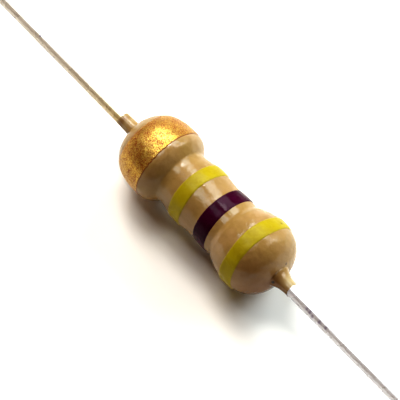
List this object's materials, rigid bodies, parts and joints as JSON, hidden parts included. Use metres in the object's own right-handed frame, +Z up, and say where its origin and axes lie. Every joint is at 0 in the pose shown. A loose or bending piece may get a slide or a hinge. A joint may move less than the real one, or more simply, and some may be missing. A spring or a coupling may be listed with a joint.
{
  "type": "axial resistor",
  "caption": "Small through-hole film resistor with a dog-bone lacquered body, yellow, violet, yellow and gold colour bands, and a straight tinned wire lead from each end.",
  "frame": {"origin": "middle of the body, on the axis of the leads", "axes": "+X along the leads towards the first digit's end, +Z up with the part lying on its two bulbs"},
  "size_m": [0.0622, 0.0024, 0.0024],
  "materials": {
    "ceramic": "matte fired alumina",
    "film": "matte carbon film",
    "cap_steel": "pressed and plated",
    "tinned_wire": "bright tinned wire, lightly pitted",
    "lacquer": "glossy beige lacquer, slightly wavy",
    "yellow_paint": "glossy yellow paint",
    "violet_paint": "glossy violet paint",
    "gold_paint": "gold paint with metal flake"
  },
  "bodies": {
    "root": {"ceramic_rod": "ceramic", "carbon_film": "film", "end_cap_front": "cap_steel", "end_cap_rear": "cap_steel", "lead_front": "tinned_wire", "lead_rear": "tinned_wire", "lacquer_coat": "lacquer", "first_digit_band": "yellow_paint", "second_digit_band": "violet_paint", "multiplier_band": "yellow_paint", "tolerance_band": "gold_paint"}
  },
  "joints": []
}
